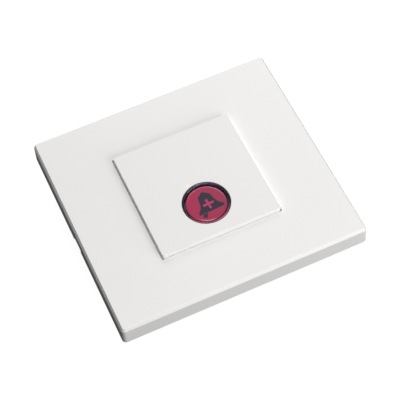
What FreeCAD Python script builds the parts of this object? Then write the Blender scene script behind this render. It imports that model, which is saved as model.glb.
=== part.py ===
import FreeCAD, Part
import math
import os

# An illuminated call button for a wall box. Millimetres, +X right, +Y up the wall,
# +Z out of the wall. The origin is the centre of the plane that lies on the wall.

V = FreeCAD.Vector

# Cover plate, a shallow tray open towards the wall
plate_width = 91.4
plate_height = 84.0
plate_depth = 8.0
plate_wall = 2.0
plate_face = 2.0
plate_corner = 1.5
plate_draft_deg = 1.0
bevel_width = 0.7
bevel_height = 1.15
bevel_round = 0.2
notch_length = 6.3
notch_height = 1.9
collar_wall = 1.4
collar_gap = 0.3
rib_thickness = 1.2
rib_offset = 14.0
rib_gap = 0.8

# Mounting frame, pressed from steel sheet
frame_sheet = 1.2
frame_width = 78.0
frame_height = 70.4
frame_corner = 4.0
frame_bend = 0.6
frame_fold = 3.2
frame_fold_length = 52.0
window_gap = 0.2
window_corner = 1.2
screw_circle = 60.0
screw_hole = 1.8
lug_width = 8.0
lug_height = 5.2
lug_offset = 20.0
lug_slot_width = 6.4
lug_slot_foot = 2.3
lug_slot_top = 4.2

# Snap tongues of the cover plate
tongue_width = 6.0
tongue_thickness = 1.2
tongue_gap = 0.15
tongue_foot = 1.9
barb_reach = 0.8
barb_rise = 1.4
barb_gap = 0.2

# Module front, the square white insert
module_size = 45.0
module_proud = 1.75
module_corner = 1.0
module_edge = 0.95
module_wall = 1.5
module_face = 2.0
opening_gap = 0.15
opening_corner = 0.3

# Module housing behind the front
housing_wall = 1.5
housing_corner = 1.5
housing_depth = 13.0
housing_chamfer = 0.6
flange_inset = 0.2
flange_reach = 0.9
flange_thickness = 1.8
catch_offset = 14.8
catch_width = 5.0
catch_reach = 0.75
catch_rise = 3.0
catch_gap = 0.1
catch_slot = 0.8
catch_length = 8.0
hook_width = 8.0
hook_thickness = 1.2
hook_gap = 0.3
hook_foot = 7.6
hook_reach = 0.9
hook_rise = 2.1
hook_window_gap = 0.3

# Push button and its light ring
button_hole = 8.6
button_hole_round = 0.15
ring_gap = 0.05
ring_bore = 7.75
ring_land = 0.25
ring_slope = 0.55
ring_flange = 11.4
ring_flange_gap = 0.4
ring_flange_thickness = 1.2
stake_circle = 10.2
stake_radius = 0.7
stake_gap = 0.05
stake_head = 1.2
stake_head_height = 0.6
stake_count = 3
guide_width = 2.4
guide_inner = 8.25
guide_outer = 9.1
guide_spare = 0.4
guide_gap = 0.2
button_radius = 7.35
button_sink = 0.6
button_travel = 1.0
button_stop_gap = 0.1
lens_thickness = 1.0
lens_edge = 0.5
lens_skirt_wall = 0.6
lens_skirt = 0.8
lens_fit = 0.05
diffuser_thickness = 0.5
carrier_roof = 1.0
carrier_wall = 1.15
carrier_flange = 8.7
carrier_flange_thickness = 1.1

# Legend in the lens: a bell with a plus and a clapper
legend_depth = 0.12
legend_shift = 0.6
legend_turn_deg = 3.4
bell_top = 5.27
bell_knob = 0.5
bell_shoulder = 2.1
bell_shoulder_height = 3.95
bell_shoulder_round = 0.45
bell_waist = 2.8
bell_lip = 4.8
bell_lip_height = 0.55
bell_foot = 3.05
plus_length = 4.1
plus_width = 0.95
clapper_width = 1.5
clapper_length = 1.75
clapper_shift = 2.85
clapper_turn_deg = 27.0
clapper_gap = 0.2

# Circuit board and the switch on it
board_gap = 0.7
board_thickness = 1.6
board_corner = 1.0
boss_inset = 2.9
boss_radius = 2.3
boss_pilot = 0.9
boss_length = 6.1
board_hole = 1.15
screw_shank = 0.85
screw_head = 2.0
screw_head_height = 1.3
screw_length = 6.6
screw_slot = 0.5
screw_slot_depth = 0.6
switch_size = 5.2
switch_height = 2.6
switch_bore = 1.8
switch_bore_depth = 1.9
switch_lid = 0.3
switch_tab_width = 2.4
switch_tab_length = 1.5
plunger_radius = 1.65
plunger_proud = 0.9
plunger_travel = 0.25
plunger_play = 0.1
actuator_radius = 1.5
actuator_play = 0.05
spring_radius = 4.7
spring_wire = 0.45
spring_turns = 5.0
spring_seat_gap = 0.05

# Lamps and parts on the board
led_circle = 7.0
led_count = 4
led_length = 3.0
led_width = 2.6
led_height = 1.8
led_window = 1.05
led_window_depth = 0.25
chip_length = 8.6
chip_width = 3.9
chip_height = 1.4
chip_lift = 0.15
chip_leads = 7
chip_pitch = 1.27
chip_x = -6.5
chip_y = 10.6
lead_width = 0.42
lead_thickness = 0.2
lead_reach = 1.05
lead_rise = 0.75
can_radius = 2.5
can_height = 5.2
can_base = 5.4
can_base_height = 0.9
can_base_cut = 1.1
can_x = 7.4
can_y = 11.2
transistor_length = 2.9
transistor_width = 1.4
transistor_height = 1.0
transistor_pitch = 1.9
transistor_x = 13.2
transistor_y = 1.2
transistor_step = 4.6
resistor_length = 3.2
resistor_width = 1.6
resistor_height = 0.55
resistor_cap = 0.5
resistor_dip = 0.1
resistor_x = -14.2
resistor_y = -7.6
resistor_step = 2.9
resistor_count = 4

# Screw terminals under the board
pole_count = 4
pole_pitch = 5.08
terminal_depth = 8.0
terminal_height = 10.5
terminal_end = 0.2
terminal_gap = 0.3
cage_width = 3.8
cage_height = 5.0
cage_length = 5.4
cage_wall = 0.8
cage_floor = 1.2
cage_gap = 0.1
cage_top_drop = 2.2
cage_inset = 1.2
pin_radius = 0.45
pin_gap = 0.1
pin_proud = 0.8
clamp_screw_shank = 1.0
clamp_screw_head = 1.8
clamp_screw_head_height = 1.4
clamp_screw_gap = 0.05
clamp_well = 2.1
clamp_screw_stand = 1.2
clamp_screw_bite = 0.6
access_hole = 2.2
entry_width = 4.0

# Levels along Z, all from the sizes above
side_height = plate_depth - bevel_height
plate_inside = plate_depth - plate_face
face_level = plate_depth + module_proud
front_foot = frame_sheet + flange_thickness
front_inside = face_level - module_face
ring_under = front_inside - ring_flange_thickness
button_top = face_level - button_sink
lens_under = button_top - lens_thickness
carrier_top = lens_under - diffuser_thickness
carrier_roof_under = carrier_top - carrier_roof
carrier_step = button_top - lens_thickness - lens_skirt
flange_top = ring_under - button_stop_gap
flange_under = flange_top - carrier_flange_thickness
board_top = front_inside - boss_length
board_under = board_top - board_thickness
switch_top = board_top + switch_height
plunger_top = switch_top + switch_lid + plunger_proud
actuator_foot = plunger_top + button_travel - plunger_travel + actuator_play
housing_back = -housing_depth
housing_inside = housing_back + housing_wall

# Half widths and places in plan, all from the sizes above
draft_out = side_height * math.tan(math.radians(plate_draft_deg))
opening_size = module_size + 2 * opening_gap
collar_size = opening_size + 2 * collar_wall
flange_size = module_size - 2 * flange_inset
housing_size = flange_size - 2 * flange_reach
window_size = housing_size + 2 * window_gap
lug_face = frame_width / 2
fold_face = frame_height / 2
housing_half = housing_size / 2
housing_room = housing_half - housing_wall
hook_face = housing_room - hook_gap
board_size = 2 * (housing_room - board_gap)
boss_offset = board_size / 2 - boss_inset
button_drop = module_size / 2 - module_wall - ring_flange - ring_flange_gap
block_front = -(housing_room - terminal_gap)
block_back = block_front + terminal_depth
cage_front = block_front + cage_inset
cage_middle = cage_front + cage_length / 2
cage_top = board_under - cage_top_drop
cage_under = cage_top - cage_height
block_under = board_under - terminal_height
button_place = V(0, -button_drop, 0)


def block(x0, x1, y0, y1, z0, z1):
    """Straight block between two corners."""
    return Part.makeBox(x1 - x0, y1 - y0, z1 - z0, V(x0, y0, z0))


def centred_block(length, width, z0, z1, x=0.0, y=0.0):
    """Straight block given by its length in X, its width in Y and the place of its middle."""
    return block(x - length / 2, x + length / 2, y - width / 2, y + width / 2, z0, z1)


def post(radius, z0, z1, x=0.0, y=0.0):
    """Upright round bar."""
    return Part.makeCylinder(radius, z1 - z0, V(x, y, z0))


def rounded_outline(width, height, radius, z):
    """Rectangle with round corners, centred on the Z axis."""
    a = width / 2
    b = height / 2
    s = radius * (1 - math.sqrt(0.5))
    edges = []
    for turn in range(4):
        p, q = (a, b) if turn % 2 == 0 else (b, a)
        start = V(p, radius - q, z)
        side = V(p, q - radius, z)
        middle = V(p - s, q - s, z)
        corner_end = V(p - radius, q, z)
        pieces = [Part.LineSegment(start, side).toShape(), Part.Arc(side, middle, corner_end).toShape()]
        for edge in pieces:
            edge.rotate(V(0, 0, 0), V(0, 0, 1), 90 * turn)
            edges.append(edge)
    return Part.Wire(Part.__sortEdges__(edges))


def rounded_block(width, height, radius, z0, z1):
    """Upright block with round vertical edges."""
    return Part.Face(rounded_outline(width, height, radius, z0)).extrude(V(0, 0, z1 - z0))


def bar_along_y(profile, y0, y1):
    """Bar with a section given in X and Z, running along Y."""
    points = [V(x, y0, z) for x, z in profile]
    return Part.Face(Part.makePolygon(points + points[:1])).extrude(V(0, y1 - y0, 0))


def turned(shape, degrees):
    """The same shape turned about the Z axis."""
    copy = shape.copy()
    copy.rotate(V(0, 0, 0), V(0, 0, 1), degrees)
    return copy


def moved(shape, place):
    """The same shape moved."""
    copy = shape.copy()
    copy.translate(place)
    return copy


def mirrored_x(shape):
    """The shape and its mirror image across the YZ plane."""
    return [shape, shape.mirror(V(0, 0, 0), V(1, 0, 0))]


def mirrored_y(shape):
    """The shape and its mirror image across the XZ plane."""
    return [shape, shape.mirror(V(0, 0, 0), V(0, 1, 0))]


def four_ways(shape):
    """The shape mirrored into all four quarters."""
    return [copy for half in mirrored_x(shape) for copy in mirrored_y(half)]


def revolved(points):
    """Body of revolution about Z from a closed section of straight runs, given as radius and height."""
    section = [V(r, 0, z) for r, z in points]
    return Part.Face(Part.makePolygon(section + section[:1])).revolve(V(0, 0, 0), V(0, 0, 1), 360)


def level_edges(shape, z, reach):
    """Edges that lie at one height, within a square of the given half width."""
    found = []
    for edge in shape.Edges:
        box = edge.BoundBox
        flat = abs(box.ZMin - z) < 1e-4 and abs(box.ZMax - z) < 1e-4
        if flat and max(abs(box.XMin), abs(box.XMax)) > reach:
            found.append(edge)
        elif flat and max(abs(box.YMin), abs(box.YMax)) > reach:
            found.append(edge)
    return found


def bent_sheet(face, foot, height, length):
    """Sheet strip that runs out along X, bends up and ends in an upright leg with its outer face at X."""
    outer = frame_sheet + frame_bend
    inner = frame_bend
    s = 1 - math.sqrt(0.5)
    corner = V(face - outer, 0, outer)
    points = [V(foot, 0, 0), V(corner.x, 0, 0), V(face, 0, outer), V(face, 0, height)]
    points += [V(face - frame_sheet, 0, height), V(face - frame_sheet, 0, outer)]
    points += [V(corner.x, 0, frame_sheet), V(foot, 0, frame_sheet)]
    outer_middle = V(face - outer * s, 0, outer * s)
    inner_middle = V(face - frame_sheet - inner * s, 0, frame_sheet + inner * s)
    edges = [Part.LineSegment(points[0], points[1]).toShape()]
    edges.append(Part.Arc(points[1], outer_middle, points[2]).toShape())
    edges.append(Part.LineSegment(points[2], points[3]).toShape())
    edges.append(Part.LineSegment(points[3], points[4]).toShape())
    edges.append(Part.LineSegment(points[4], points[5]).toShape())
    edges.append(Part.Arc(points[5], inner_middle, points[6]).toShape())
    edges.append(Part.LineSegment(points[6], points[7]).toShape())
    edges.append(Part.LineSegment(points[7], points[0]).toShape())
    strip = Part.Face(Part.Wire(edges)).extrude(V(0, length, 0))
    return moved(strip, V(0, -length / 2, 0))


def plate_shell():
    """Outside of the cover plate: drafted sides and a flat bevel round the face, hollow behind."""
    foot = rounded_outline(plate_width + 2 * draft_out, plate_height + 2 * draft_out, plate_corner, 0)
    shoulder = rounded_outline(plate_width, plate_height, plate_corner, side_height)
    rim_width = plate_width - 2 * bevel_width
    rim_height = plate_height - 2 * bevel_width
    rim = rounded_outline(rim_width, rim_height, plate_corner - bevel_width, plate_depth)
    shell = Part.makeLoft([foot, shoulder], True, True).fuse(Part.makeLoft([shoulder, rim], True, True))
    edges = level_edges(shell, plate_depth, module_size / 2)
    edges += level_edges(shell, side_height, module_size / 2)
    shell = shell.makeFillet(bevel_round, edges)
    room_width = plate_width - 2 * plate_wall
    room_height = plate_height - 2 * plate_wall
    return shell.cut(rounded_block(room_width, room_height, plate_corner / 2, 0, plate_inside))


def plate_ribs():
    """Ribs from the collar to the side walls, clear above the folds of the mounting frame."""
    foot = frame_fold + rib_gap
    low = rib_offset - rib_thickness / 2
    high = rib_offset + rib_thickness / 2
    inner = collar_size / 2 - collar_wall / 2
    side = block(inner, plate_width / 2 - plate_wall / 2, low, high, foot, plate_inside)
    upper = block(low, high, inner, plate_height / 2 - plate_wall / 2, foot, plate_inside)
    return four_ways(side) + four_ways(upper)


def plate_tongues():
    """Four snap tongues, each with a barb that hooks under the slot of a lug on the mounting frame."""
    inner = lug_face + tongue_gap
    outer = inner + tongue_thickness
    barb_top = lug_slot_top - barb_gap
    root = plate_inside + plate_face / 2
    profile = [(inner, root), (outer, root), (outer, tongue_foot), (inner, tongue_foot)]
    profile += [(inner, barb_top - barb_rise), (inner - barb_reach, barb_top), (inner, barb_top)]
    tongue = bar_along_y(profile, lug_offset - tongue_width / 2, lug_offset + tongue_width / 2)
    return four_ways(tongue)


def cover_plate():
    """Front cover with a square opening for the module and a pry notch low in its left side."""
    plate = plate_shell()
    collar = rounded_block(collar_size, collar_size, opening_corner + collar_wall, frame_sheet + collar_gap,
                           plate_inside + plate_face / 2)
    plate = plate.fuse([collar] + plate_ribs() + plate_tongues())
    plate = plate.cut(rounded_block(opening_size, opening_size, opening_corner, 0, 2 * plate_depth))
    side = -plate_width / 2
    notch = centred_block(3 * plate_wall, notch_length, 0, notch_height, side)
    return plate.cut(notch).removeSplitter()


def mounting_frame():
    """Steel frame screwed to the wall box: folded edges, four lugs for the plate, a square window."""
    bend = frame_sheet + frame_bend
    flat_width = frame_width - 2 * bend
    flat_height = frame_height - 2 * bend
    sheet = rounded_block(flat_width, flat_height, frame_corner, 0, frame_sheet)
    strip = bent_sheet(lug_face, flat_width / 2 - bend, lug_height, lug_width)
    slot = centred_block(4 * frame_sheet, lug_slot_width, lug_slot_foot, lug_slot_top, lug_face)
    lug = moved(strip.cut(slot), V(0, lug_offset, 0))
    fold = turned(bent_sheet(fold_face, flat_height / 2 - bend, frame_fold, frame_fold_length), 90)
    frame = sheet.fuse(four_ways(lug) + mirrored_y(fold))
    frame = frame.cut(rounded_block(window_size, window_size, window_corner, 0, frame_sheet))
    hole = moved(post(screw_hole, 0, frame_sheet), V(screw_circle / 2, 0, 0))
    return frame.cut([turned(hole, 90 * turn) for turn in range(4)]).removeSplitter()


def stake_places():
    """Centres of the stakes that hold the light ring, about the button axis."""
    angles = [math.radians(90 + 360 / stake_count * i) for i in range(stake_count)]
    return [V(stake_circle * math.cos(a), stake_circle * math.sin(a) - button_drop, 0) for a in angles]


def front_hooks():
    """Two long hooks that hang from the module front and snap into windows of the housing."""
    inner = hook_face - hook_thickness
    barb_top = front_foot - hook_foot + hook_rise
    foot = barb_top - hook_rise - hook_thickness / 2
    root = front_inside + module_face / 2
    profile = [(inner, root), (hook_face, root), (hook_face, barb_top), (hook_face + hook_reach, barb_top)]
    profile += [(hook_face, barb_top - hook_rise), (hook_face, foot), (inner, foot)]
    return mirrored_x(bar_along_y(profile, -hook_width / 2, hook_width / 2))


def module_front():
    """White insert: a square cap with soft edges, the button hole, bosses, hooks and stakes."""
    cap = rounded_block(module_size, module_size, module_corner, front_foot, face_level)
    cap = cap.makeFillet(module_edge, level_edges(cap, face_level, module_size / 4))
    room = module_size - 2 * module_wall
    cap = cap.cut(rounded_block(room, room, module_corner / 2, front_foot, front_inside))
    boss = post(boss_radius, board_top, front_inside + module_face / 2, boss_offset, boss_offset)
    cap = cap.fuse(four_ways(boss) + front_hooks())
    pilot = post(boss_pilot, board_top, front_inside + module_face / 4, boss_offset, boss_offset)
    hole = moved(post(button_hole, front_inside, face_level), button_place)
    cap = cap.cut(four_ways(pilot) + [hole])
    rim = [e for e in cap.Edges if abs(e.BoundBox.ZMin - face_level) < 1e-4 and len(e.Vertexes) == 1]
    cap = cap.makeFillet(button_hole_round, rim)
    stakes = []
    for place in stake_places():
        stakes.append(moved(post(stake_radius, ring_under, front_inside + module_face / 2), place))
        head = post(stake_head, ring_under - stake_head_height, ring_under)
        lower = [e for e in head.Edges if abs(e.BoundBox.ZMax - ring_under + stake_head_height) < 1e-4]
        stakes.append(moved(head.makeFillet(stake_head_height / 2, lower), place))
    return cap.fuse(stakes).removeSplitter()


def housing_catches():
    """Wedges on two walls that snap behind the mounting frame, and the slots that free them."""
    top = -catch_gap
    y = housing_half
    wedge = [V(0, y - housing_wall / 2, top), V(0, y + catch_reach, top), V(0, y, top - catch_rise)]
    wedge.append(V(0, y - housing_wall / 2, top - catch_rise))
    x0 = catch_offset - catch_width / 2
    barb = Part.Face(Part.makePolygon(wedge + wedge[:1])).extrude(V(catch_width, 0, 0))
    x1 = x0 + catch_width
    near = y - 2 * housing_wall
    far = y + housing_wall
    left = block(x0 - catch_slot, x0, near, far, -catch_length, 0)
    right = block(x1, x1 + catch_slot, near, far, -catch_length, 0)
    under = block(x0 - catch_slot, x1 + catch_slot, near, far, -catch_length - catch_slot, -catch_length)
    return four_ways(moved(barb, V(x0, 0, 0))), four_ways(left) + four_ways(right) + four_ways(under)


def pole_places():
    """X places of the terminal poles, centred on the module."""
    return [(i - (pole_count - 1) / 2) * pole_pitch for i in range(pole_count)]


def module_housing():
    """Tray behind the front: a flange on the frame, catches, and openings for wires and terminal screws."""
    tray = rounded_block(housing_size, housing_size, housing_corner, housing_back, front_foot)
    tray = tray.makeChamfer(housing_chamfer, level_edges(tray, housing_back, housing_half / 2))
    tray = tray.fuse(rounded_block(flange_size, flange_size, housing_corner, frame_sheet, front_foot))
    barbs, slots = housing_catches()
    tray = tray.fuse(barbs)
    room = 2 * housing_room
    cuts = slots + [rounded_block(room, room, housing_corner / 2, housing_inside, front_foot)]
    barb_top = front_foot - hook_foot + hook_rise
    window_foot = barb_top - hook_rise - hook_window_gap
    window = centred_block(3 * housing_wall, hook_width + 2 * hook_window_gap, window_foot,
                           barb_top + hook_window_gap, housing_half)
    cuts += mirrored_x(window)
    for x in pole_places():
        cuts.append(centred_block(entry_width, 3 * housing_wall, cage_under - cage_gap, cage_top + cage_gap,
                                  x, -housing_half))
        cuts.append(post(access_hole, housing_back, housing_inside, x, cage_middle))
    return tray.cut(cuts).removeSplitter()


def light_ring():
    """Red translucent collar round the button, sloped towards it, with a flange and two guide tongues."""
    outer = button_hole - ring_gap
    land = outer - ring_land
    s = math.sqrt(0.5)
    slope_width = land - ring_bore
    low = V(ring_bore, 0, face_level - ring_slope)
    high = V(land, 0, face_level)
    middle = V(ring_bore + slope_width * (1 - s), 0, face_level - ring_slope * (1 - s))
    corners = [low, V(ring_bore, 0, ring_under), V(ring_flange, 0, ring_under)]
    corners += [V(ring_flange, 0, front_inside), V(outer, 0, front_inside)]
    corners += [V(outer, 0, face_level - ring_gap), V(outer - ring_gap, 0, face_level), high]
    edges = [Part.LineSegment(a, b).toShape() for a, b in zip(corners, corners[1:])]
    edges.append(Part.Arc(high, middle, low).toShape())
    ring = Part.Face(Part.Wire(edges)).revolve(V(0, 0, 0), V(0, 0, 1), 360)
    foot = flange_under - button_travel - guide_spare
    root = ring_under + ring_flange_thickness / 2
    half = guide_width / 2
    slab = block(0, guide_outer, -half, half, foot, root)
    tongue = slab.common(post(guide_outer, foot, root)).cut(post(guide_inner, foot, root))
    ring = moved(ring.fuse(mirrored_x(tongue)), button_place)
    holes = [moved(post(stake_radius + stake_gap, ring_under, front_inside), p) for p in stake_places()]
    return ring.cut(holes).removeSplitter()


def button_lens():
    """Red translucent cap with a rounded rim, a short skirt and the legend sunk flush in its face."""
    inner = button_radius - lens_skirt_wall
    cap = post(button_radius, carrier_step, button_top)
    cap = cap.makeFillet(lens_edge, [e for e in cap.Edges if abs(e.BoundBox.ZMin - button_top) < 1e-4])
    cap = moved(cap.cut(post(inner, carrier_step, lens_under)), button_place)
    return cap.cut(bell_symbol())


def bell_outline():
    """Outline of the bell about the centre of its plus, with the crown up."""
    shoulder_in = bell_shoulder - bell_shoulder_round
    neck = bell_shoulder_height + bell_shoulder_round
    knob = V(bell_knob * math.sqrt(0.5), bell_top - bell_knob * (1 - math.sqrt(0.5)), 0)
    shoulder_top = V(shoulder_in, neck - bell_shoulder_round / 2, 0)
    shoulder_mid = V(bell_shoulder - bell_shoulder_round * 0.3, bell_shoulder_height, 0)
    shoulder_end = V(bell_shoulder, bell_shoulder_height - bell_shoulder_round, 0)
    waist = V(bell_waist, 0, 0)
    lip_top = bell_lip_height - bell_foot
    flare_end = V(bell_lip - bell_lip_height / 2, lip_top, 0)
    flare_mid = V(bell_waist + (flare_end.x - bell_waist) * 0.32, lip_top * 0.6, 0)
    lip_mid = V(bell_lip, lip_top - bell_lip_height / 2, 0)
    lip_end = V(bell_lip - bell_lip_height / 3, -bell_foot, 0)
    side_mid = V((bell_shoulder + bell_waist) / 2 - 0.06, shoulder_end.y / 2, 0)
    right = [Part.LineSegment(knob, shoulder_top).toShape()]
    right.append(Part.Arc(shoulder_top, shoulder_mid, shoulder_end).toShape())
    right.append(Part.Arc(shoulder_end, side_mid, waist).toShape())
    right.append(Part.Arc(waist, flare_mid, flare_end).toShape())
    right.append(Part.Arc(flare_end, lip_mid, lip_end).toShape())
    left = [edge.mirror(V(0, 0, 0), V(1, 0, 0)) for edge in right]
    crown = Part.Arc(V(-knob.x, knob.y, 0), V(0, bell_top, 0), knob).toShape()
    base = Part.LineSegment(V(-lip_end.x, lip_end.y, 0), lip_end).toShape()
    return Part.Wire(Part.__sortEdges__(right + left + [crown, base]))


def bell_symbol():
    """Dark legend: the bell with a plus cut out of it, and the clapper as a second small field."""
    depth = V(0, 0, legend_depth)
    bell = Part.Face(bell_outline()).extrude(depth)
    arms = [centred_block(plus_length, plus_width, 0, legend_depth)]
    arms.append(centred_block(plus_width, plus_length, 0, legend_depth))
    bell = bell.cut(arms)
    clapper = centred_block(clapper_width, 2 * clapper_length, 0, legend_depth)
    clapper = moved(turned(clapper, -clapper_turn_deg), V(-clapper_shift, -bell_foot - clapper_gap, 0))
    trim = block(-bell_lip, bell_lip, -bell_foot - clapper_gap, bell_top, 0, legend_depth)
    legend = Part.makeCompound([bell.removeSplitter(), clapper.cut(trim)])
    place = V(legend_shift, -button_drop, button_top - legend_depth)
    return moved(turned(legend, legend_turn_deg), place)


def diffuser_disc():
    """Milky disc between the lens and the carrier."""
    radius = button_radius - lens_skirt_wall - lens_fit
    return moved(post(radius, carrier_top, lens_under), button_place)


def button_carrier():
    """Cup under the lens: spring seat, actuator, and a notched flange that stops under the light ring."""
    neck = button_radius - lens_skirt_wall - lens_fit
    inner = button_radius - carrier_wall
    section = [(0, carrier_roof_under), (0, carrier_top), (neck, carrier_top), (neck, carrier_step)]
    section += [(button_radius, carrier_step), (button_radius, flange_top), (carrier_flange, flange_top)]
    section += [(carrier_flange, flange_under), (inner, flange_under), (inner, carrier_roof_under)]
    actuator = post(actuator_radius, actuator_foot, carrier_roof_under + carrier_roof / 2)
    cup = revolved(section).fuse(actuator)
    half = guide_width / 2 + guide_gap
    notch = block(guide_inner - guide_gap, guide_outer, -half, half, flange_under, flange_top)
    return moved(cup.cut(mirrored_x(notch)).removeSplitter(), button_place)


def return_spring():
    """Compression spring between the board and the roof of the carrier."""
    foot = board_top + spring_seat_gap + spring_wire / 2
    rise = carrier_roof_under - spring_seat_gap - spring_wire / 2 - foot
    path = Part.makeHelix(rise / spring_turns, rise, spring_radius)
    path.translate(V(0, 0, foot))
    tangent = V(0, 2 * math.pi * spring_radius, rise / spring_turns)
    section = Part.Wire(Part.makeCircle(spring_wire / 2, V(spring_radius, 0, foot), tangent))
    coil = Part.Wire(path.Edges).makePipeShell([section], True, True)
    return moved(coil, button_place)


def board_corners(shape):
    """A shape made at one board corner, in all four."""
    return four_ways(moved(shape, V(boss_offset, boss_offset, 0)))


def circuit_board():
    """Glass-fibre board under the bosses, notched for the hooks and drilled for screws and terminals."""
    board = rounded_block(board_size, board_size, board_corner, board_under, board_top)
    cuts = board_corners(post(board_hole, board_under, board_top))
    inner = hook_face - hook_thickness - hook_window_gap
    half = hook_width / 2 + 2 * hook_window_gap
    cuts += mirrored_x(block(inner, board_size, -half, half, board_under, board_top))
    cuts += [post(pin_radius + pin_gap, board_under, board_top, x, cage_middle) for x in pole_places()]
    return board.cut(cuts)


def board_screws():
    """Four slotted pan-head screws from behind the board into the bosses."""
    head = post(screw_head, board_under - screw_head_height, board_under)
    rim = [e for e in head.Edges if abs(e.BoundBox.ZMax - board_under + screw_head_height) < 1e-4]
    head = head.makeFillet(screw_head_height / 3, rim)
    slot_foot = board_under - screw_head_height
    slot = centred_block(2 * screw_head, screw_slot, slot_foot, slot_foot + screw_slot_depth)
    screw = head.cut(slot).fuse(post(screw_shank, board_under, board_under + screw_length)).removeSplitter()
    return Part.makeCompound(board_corners(screw))


def switch_body():
    """Square base of the switch with a bore for its plunger."""
    size = switch_size - 2 * switch_lid
    body = centred_block(size, size, board_top, switch_top)
    bore = post(switch_bore, switch_top - switch_bore_depth, switch_top)
    return moved(body.cut(bore), button_place)


def switch_cover():
    """Thin metal lid over the switch with a tab bent down on two sides."""
    top = switch_top + switch_lid
    lid = centred_block(switch_size, switch_size, switch_top, top)
    tab_middle = (switch_size - switch_lid) / 2
    tab = centred_block(switch_lid, switch_tab_width, switch_top - switch_tab_length, top, tab_middle)
    lid = lid.fuse(mirrored_x(tab)).cut(post(switch_bore, switch_top, top))
    return moved(lid.removeSplitter(), button_place)


def switch_plunger():
    """Round key of the switch, with room under it for its travel."""
    foot = switch_top - switch_bore_depth + plunger_travel + plunger_play
    key = post(plunger_radius, foot, plunger_top)
    top = [e for e in key.Edges if abs(e.BoundBox.ZMin - plunger_top) < 1e-4]
    return moved(key.makeFillet(switch_lid / 2, top), button_place)


def indicator_leds():
    """Four lamps round the switch, each with a round window in its face."""
    top = board_top + led_height
    lamp = centred_block(led_length, led_width, board_top, top, led_circle)
    lamp = lamp.cut(post(led_window, top - led_window_depth, top, led_circle))
    step = 360 / led_count
    lamps = [turned(lamp, step * (i + 0.5)) for i in range(led_count)]
    return moved(Part.makeCompound(lamps), button_place)


def gull_lead(body_half, y):
    """One lead: flat foot on the board, a riser, and a short shoulder into the body."""
    half = lead_width / 2
    t = lead_thickness
    x = body_half
    knee = x + lead_reach / 2
    profile = [(x - t, lead_rise - t), (knee - t, lead_rise - t), (knee - t, 0), (x + lead_reach, 0)]
    profile += [(x + lead_reach, t), (knee, t), (knee, lead_rise), (x - t, lead_rise)]
    lead = bar_along_y([(px, board_top + pz) for px, pz in profile], y - half, y + half)
    return mirrored_x(lead)


def chip_body(length, width, height):
    """Moulded package with slightly chamfered upper edges, its length along Y."""
    package = centred_block(width, length, board_top + chip_lift, board_top + height)
    upper = [e for e in package.Edges if abs(e.BoundBox.ZMin - board_top - height) < 1e-4]
    return package.makeChamfer(chip_lift, upper)


def controller_chip():
    """Controller in a package with a row of leads on each side."""
    chip = chip_body(chip_length, chip_width, chip_height)
    leads = []
    for i in range(chip_leads):
        leads += gull_lead(chip_width / 2, (i - (chip_leads - 1) / 2) * chip_pitch)
    return moved(turned(chip.fuse(leads).removeSplitter(), 90), V(chip_x, chip_y, 0))


def driver_transistors():
    """Two small transistors that switch the lamps: two leads on one side, one on the other."""
    body = chip_body(transistor_length, transistor_width, transistor_height)
    half = transistor_width / 2
    pair = [gull_lead(half, transistor_pitch / 2)[0], gull_lead(half, -transistor_pitch / 2)[0]]
    part = body.fuse(pair + [gull_lead(half, 0)[1]]).removeSplitter()
    places = [V(transistor_x, transistor_y, 0), V(transistor_x, transistor_y + transistor_step, 0)]
    return Part.makeCompound([moved(part, place) for place in places])


def chip_resistors():
    """Row of chip resistors with raised end caps."""
    top = board_top + resistor_height
    body = centred_block(resistor_length, resistor_width, board_top, top)
    dip = centred_block(resistor_length - 2 * resistor_cap, resistor_width, top - resistor_dip, top)
    chip = body.cut(dip)
    places = [V(resistor_x, resistor_y + resistor_step * i, 0) for i in range(resistor_count)]
    return Part.makeCompound([moved(chip, place) for place in places])


def filter_capacitor():
    """Upright can on a square moulded base."""
    base = centred_block(can_base, can_base, board_top, board_top + can_base_height)
    uprights = [e for e in base.Edges if e.BoundBox.ZLength > can_base_height / 2]
    base = base.makeChamfer(can_base_cut, [e for e in uprights if e.BoundBox.XMin > 0])
    can = post(can_radius, board_top + can_base_height, board_top + can_height)
    upper = [e for e in can.Edges if abs(e.BoundBox.ZMin - board_top - can_height) < 1e-4]
    return moved(base.fuse(can.makeFillet(can_base_height / 3, upper)), V(can_x, can_y, 0))


def terminal_block():
    """Four-pole block under the board: an open cage bay and a screw well for each pole."""
    half = pole_count * pole_pitch / 2 + terminal_end
    body = block(-half, half, block_front, block_back, block_under, board_under)
    cuts = []
    bay = cage_width / 2 + cage_gap
    bay_back = cage_front + cage_length + cage_gap
    bay_foot = cage_under - cage_gap
    for x in pole_places():
        cuts.append(block(x - bay, x + bay, block_front, bay_back, bay_foot, cage_top + cage_gap))
        cuts.append(post(clamp_well, block_under, cage_under, x, cage_middle))
        cuts.append(post(pin_radius + pin_gap, cage_top, board_under, x, cage_middle))
    return body.cut(cuts)


def terminal_clamps():
    """Brass clamp cages with their solder pins, one for each pole."""
    clamps = []
    mouth_width = cage_width - 2 * cage_wall
    for x in pole_places():
        cage = centred_block(cage_width, cage_length, cage_under, cage_top, x, cage_middle)
        mouth = centred_block(mouth_width, cage_length, cage_under + cage_floor, cage_top - cage_wall, x,
                              cage_middle)
        thread_radius = clamp_screw_shank + clamp_screw_gap
        thread = post(thread_radius, cage_under, cage_under + cage_floor, x, cage_middle)
        pin = post(pin_radius, cage_top - cage_wall / 2, board_top + pin_proud, x, cage_middle)
        clamps.append(cage.cut([mouth, thread]).fuse(pin).removeSplitter())
    return Part.makeCompound(clamps)


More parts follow.
